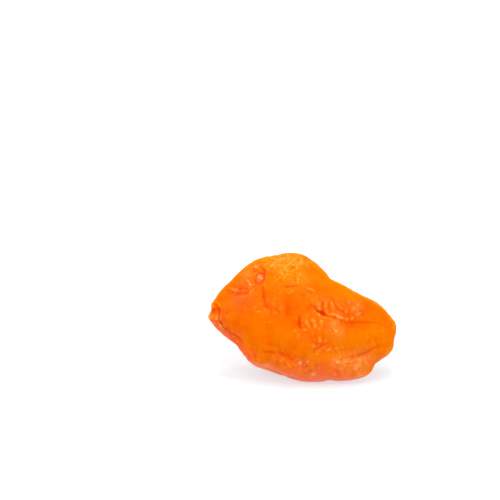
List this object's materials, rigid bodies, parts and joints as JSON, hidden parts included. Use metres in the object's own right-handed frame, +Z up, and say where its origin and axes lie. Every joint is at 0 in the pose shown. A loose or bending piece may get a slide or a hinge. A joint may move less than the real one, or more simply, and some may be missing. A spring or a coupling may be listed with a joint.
{
  "type": "dried apricot",
  "caption": "Dried pitted apricot: a flattened, wrinkled orange fruit with puckered furrows on its face and a seam down its back, leaning on a small flat spot.",
  "frame": {"origin": "centre of the footprint, on the surface that the fruit rests on", "axes": "+X along the fruit, towards its blunt end; -Y towards the front, which the broad face leans back from; +Z up"},
  "size_m": [0.042, 0.0268, 0.0245],
  "materials": {
    "fruit_skin": "waxy, slightly translucent"
  },
  "bodies": {
    "root": {"dried_apricot": "fruit_skin"}
  },
  "joints": []
}
